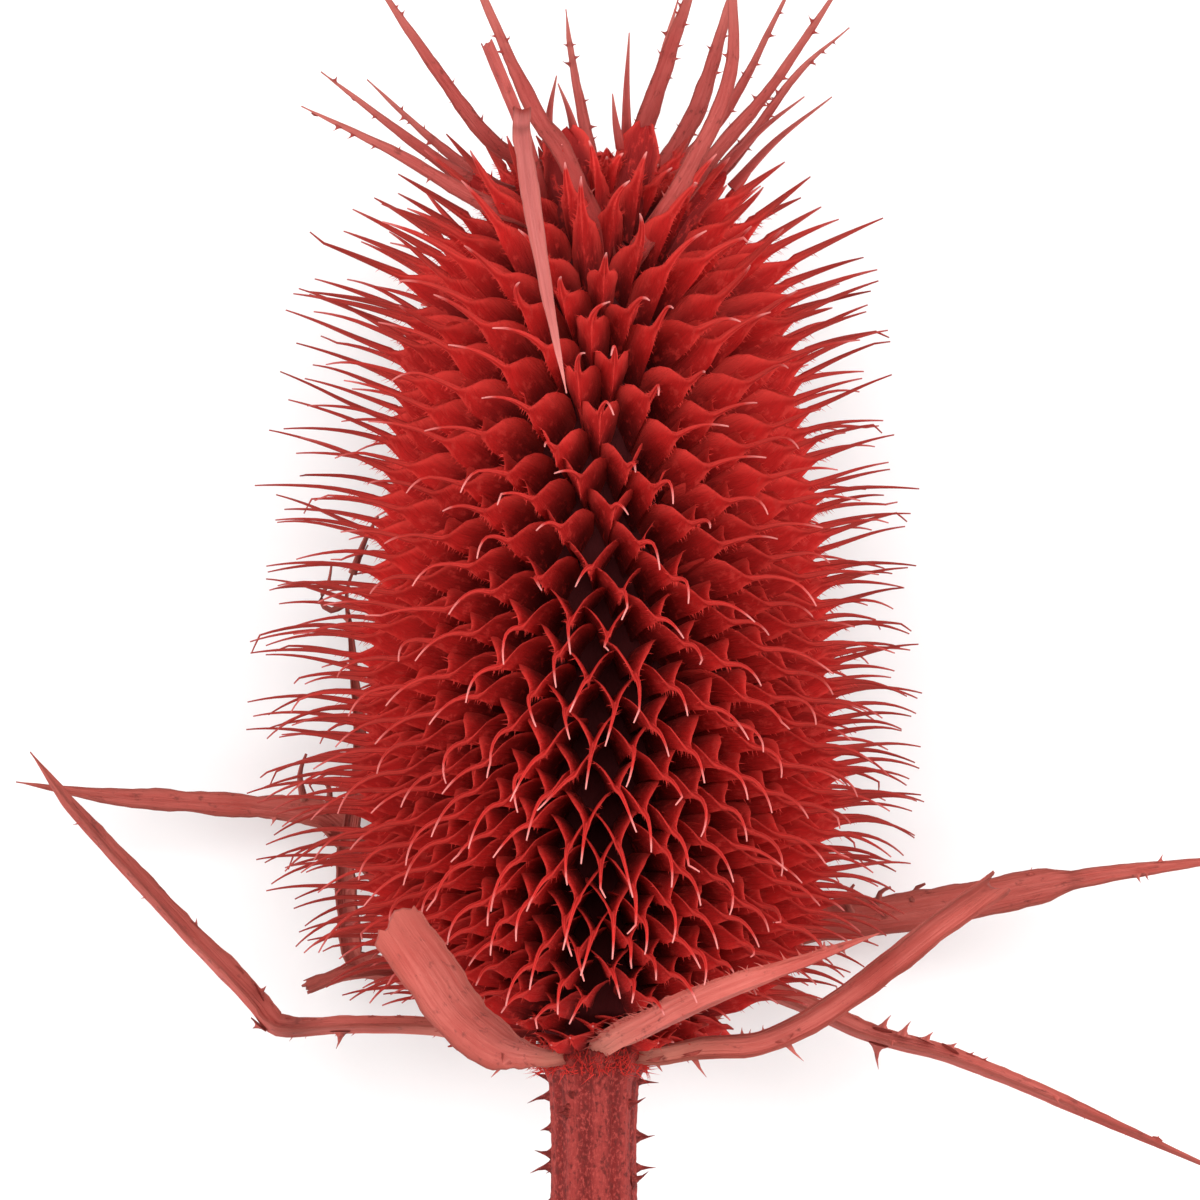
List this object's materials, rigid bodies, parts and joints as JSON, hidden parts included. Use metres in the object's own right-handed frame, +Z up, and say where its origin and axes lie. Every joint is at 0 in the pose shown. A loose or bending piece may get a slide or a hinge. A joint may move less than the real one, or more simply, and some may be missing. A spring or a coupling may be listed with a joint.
{
  "type": "teasel seed head",
  "caption": "Dried teasel seed head dyed red, covered in spiny keeled bracts, with long prickly involucral bracts on a short cut stem, lying on its side.",
  "frame": {"origin": "middle of the bottom of the bounding box, on the surface that the head lies on", "axes": "+Y along the head's axis from the cut stem to the crown, +Z up from the surface, +X across the head"},
  "size_m": [0.093, 0.1156, 0.0468],
  "materials": {
    "seed_head": "dry, dyed deep red, paler at the edges and the spine tips",
    "stem": "dry, ridged, dyed red with brown mottling",
    "involucral_bract": "dry, dyed rose red, brown along the edges"
  },
  "bodies": {
    "root": {"seed_head": "seed_head", "stem": "stem", "involucral_bract_1": "involucral_bract", "involucral_bract_2": "involucral_bract", "involucral_bract_3": "involucral_bract", "involucral_bract_4": "involucral_bract", "involucral_bract_5": "involucral_bract", "involucral_bract_6": "involucral_bract", "involucral_bract_7": "involucral_bract", "involucral_bract_8": "involucral_bract", "involucral_bract_9": "involucral_bract"}
  },
  "joints": []
}
